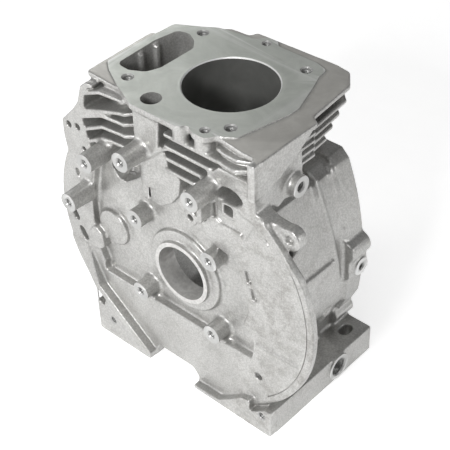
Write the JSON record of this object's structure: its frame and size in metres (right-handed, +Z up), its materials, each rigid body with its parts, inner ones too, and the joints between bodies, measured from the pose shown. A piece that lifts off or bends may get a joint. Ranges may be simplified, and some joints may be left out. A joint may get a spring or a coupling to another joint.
{
  "type": "crankcase",
  "caption": "Cast aluminium crankcase of a small air-cooled engine with finned upright cylinder, machined deck and bore, round flywheel-side flange with bosses, open rear and two feet.",
  "frame": {"origin": "where the cylinder axis meets the plane of the feet", "axes": "+Z up along the cylinder axis, -Y along the crankshaft out of the flywheel side, +X to the right seen from the flywheel side"},
  "size_m": [0.312, 0.1855, 0.3],
  "materials": {
    "cast_aluminium": "as cast, fine sandy grain, machined faces on deck and bosses",
    "liner_iron": "honed dark grey"
  },
  "bodies": {
    "root": {"crankcase": "cast_aluminium", "cylinder_liner": "liner_iron"}
  },
  "joints": []
}
